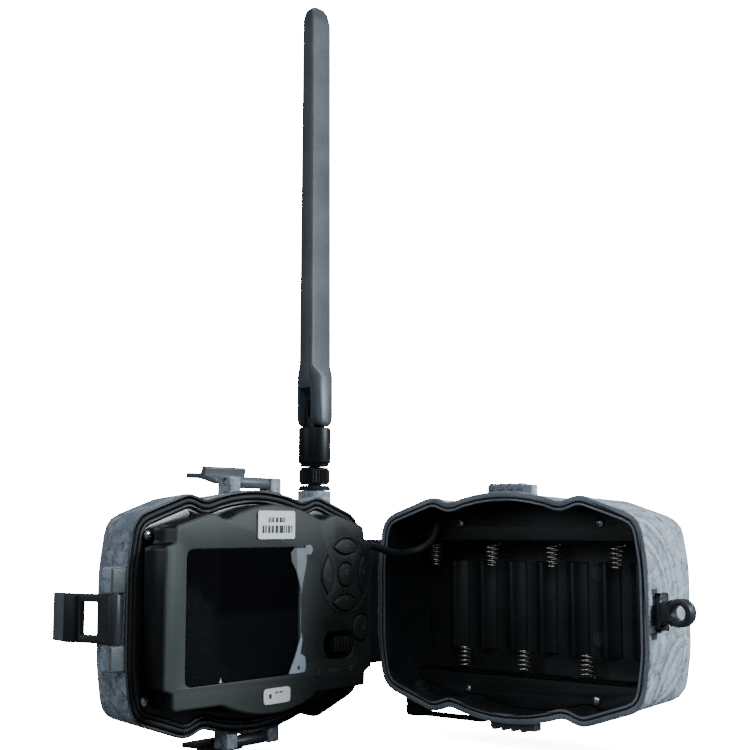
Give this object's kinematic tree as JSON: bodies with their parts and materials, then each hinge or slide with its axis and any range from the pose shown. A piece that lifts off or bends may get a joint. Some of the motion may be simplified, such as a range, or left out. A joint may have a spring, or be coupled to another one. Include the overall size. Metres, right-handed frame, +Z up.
{
  "type": "trail camera",
  "caption": "Hinged trail camera, open: bark-textured housings, AA battery tray, screen and button panel, gasket, latches, padlock lug and folding antenna.",
  "frame": {"origin": "centre of the tree pad, the raised flat face on the back of the battery housing, which bears on the tree or wall the camera is strapped to", "axes": "+Z up along the antenna; +Y out of the pad's face, toward the tree; -Y the way the battery housing opens; the camera housing stands open 90 degrees on the -X side"},
  "size_m": [0.1815, 0.2043, 0.318],
  "materials": {
    "bark_camouflage": "matte, bark pattern",
    "black_plastic": "fine matte",
    "panel_grey": "fine grained",
    "black_rubber": "matte",
    "bright_steel": "bright plated",
    "brass": "satin",
    "dark_glass": "clear gloss",
    "clear_film": "clear",
    "white_label": "paper",
    "circuit_board": "satin",
    "frosted_lens": "frosted"
  },
  "bodies": {
    "battery_housing": {"rear_housing": "bark_camouflage", "battery_tray": "black_plastic", "battery_spring_1": "bright_steel", "battery_spring_2": "bright_steel", "battery_spring_3": "bright_steel", "battery_spring_4": "bright_steel", "battery_spring_5": "bright_steel", "battery_spring_6": "bright_steel", "battery_spring_7": "bright_steel", "battery_spring_8": "bright_steel", "contact_plate_1": "bright_steel", "contact_plate_2": "bright_steel", "contact_plate_3": "bright_steel", "contact_plate_4": "bright_steel", "contact_plate_5": "bright_steel", "contact_plate_6": "bright_steel", "contact_plate_7": "bright_steel", "contact_plate_8": "bright_steel", "contact_plate_9": "bright_steel", "tray_screw_1": "bright_steel", "tray_screw_2": "bright_steel", "tray_screw_3": "bright_steel", "tray_screw_4": "bright_steel", "hinge_pin": "bright_steel", "padlock_lug": "black_plastic", "power_jack": "black_plastic", "tripod_insert": "brass"},
    "camera_housing": {"front_housing": "bark_camouflage", "gasket": "black_rubber", "control_panel": "panel_grey", "screen_window": "dark_glass", "screen_film": "clear_film", "upper_label": "white_label", "lower_label": "white_label", "main_board": "circuit_board", "panel_screw_1": "bright_steel", "panel_screw_2": "bright_steel", "lens_barrel": "black_plastic", "lens_glass": "dark_glass", "infrared_window": "dark_glass", "sensor_lens": "frosted_lens", "top_hook_pin": "bright_steel", "bottom_hook_pin": "bright_steel", "clasp_pin": "bright_steel", "antenna_socket": "brass", "power_cable": "black_rubber"},
    "top_latch": {"top_hook": "black_plastic"},
    "bottom_latch": {"bottom_hook": "black_plastic"},
    "side_latch": {"side_clasp": "black_plastic"},
    "antenna_nut": {"antenna_nut": "black_plastic"},
    "antenna_swivel": {"antenna_swivel": "black_plastic"},
    "antenna_blade": {"antenna_blade": "black_plastic"},
    "dust_plug": {"dust_plug": "black_rubber"},
    "slide_switch": {"slide_switch": "black_plastic"},
    "button_up": {"button_up": "black_plastic"},
    "button_left": {"button_left": "black_plastic"},
    "button_down": {"button_down": "black_plastic"},
    "button_right": {"button_right": "black_plastic"},
    "button_ok": {"button_ok": "black_plastic"},
    "button_round": {"button_round": "black_plastic"}
  },
  "joints": [
    {"name": "cover_hinge", "type": "hinge", "parent": "battery_housing", "child": "camera_housing", "pos_m": [-0.0703, -0.0597, 0], "axis": [0, 0, 1], "range_deg": [-20, 90], "deforming": ["power_cable"]},
    {"name": "top_hook_swing", "type": "hinge", "parent": "camera_housing", "child": "top_latch", "pos_m": [-0.0656, -0.13, 0.0492], "axis": [0, 1, 0], "range_deg": [-6, 164]},
    {"name": "bottom_hook_swing", "type": "hinge", "parent": "camera_housing", "child": "bottom_latch", "pos_m": [-0.0656, -0.13, -0.0492], "axis": [0, -1, 0], "range_deg": [-6, 164]},
    {"name": "side_clasp_swing", "type": "hinge", "parent": "camera_housing", "child": "side_latch", "pos_m": [-0.0647, -0.1982, 0], "axis": [0, 0, 1], "range_deg": [-5, 170]},
    {"name": "antenna_nut_turn", "type": "hinge", "parent": "camera_housing", "child": "antenna_nut", "pos_m": [-0.0751, -0.082, 0.06], "axis": [0, 0, 1], "continuous": true},
    {"name": "antenna_turn", "type": "hinge", "parent": "camera_housing", "child": "antenna_swivel", "pos_m": [-0.0751, -0.082, 0.06], "axis": [0, 0, 1], "range_deg": [-180, 180]},
    {"name": "antenna_tilt", "type": "hinge", "parent": "antenna_swivel", "child": "antenna_blade", "pos_m": [-0.0751, -0.082, 0.0827], "axis": [1, 0, 0], "range_deg": [0, 90]},
    {"name": "dust_plug_bend", "type": "hinge", "parent": "battery_housing", "child": "dust_plug", "pos_m": [-0.017, -0.0415, -0.0473], "axis": [0, -1, 0], "range_deg": [0, 100]},
    {"name": "slide_switch_travel", "type": "slide", "parent": "camera_housing", "child": "slide_switch", "axis": [0, 1, 0], "range_m": [-0.0056, 0]},
    {"name": "button_up_press", "type": "slide", "parent": "camera_housing", "child": "button_up", "axis": [-1, 0, 0], "range_m": [0, 0.0007], "stiffness_N_per_m": 600},
    {"name": "button_left_press", "type": "slide", "parent": "camera_housing", "child": "button_left", "axis": [-1, 0, 0], "range_m": [0, 0.0007], "stiffness_N_per_m": 600},
    {"name": "button_down_press", "type": "slide", "parent": "camera_housing", "child": "button_down", "axis": [-1, 0, 0], "range_m": [0, 0.0007], "stiffness_N_per_m": 600},
    {"name": "button_right_press", "type": "slide", "parent": "camera_housing", "child": "button_right", "axis": [-1, 0, 0], "range_m": [0, 0.0007], "stiffness_N_per_m": 600},
    {"name": "button_ok_press", "type": "slide", "parent": "camera_housing", "child": "button_ok", "axis": [-1, 0, 0], "range_m": [0, 0.0007], "stiffness_N_per_m": 600},
    {"name": "button_round_press", "type": "slide", "parent": "camera_housing", "child": "button_round", "axis": [-1, 0, 0], "range_m": [0, 0.0007], "stiffness_N_per_m": 600}
  ]
}
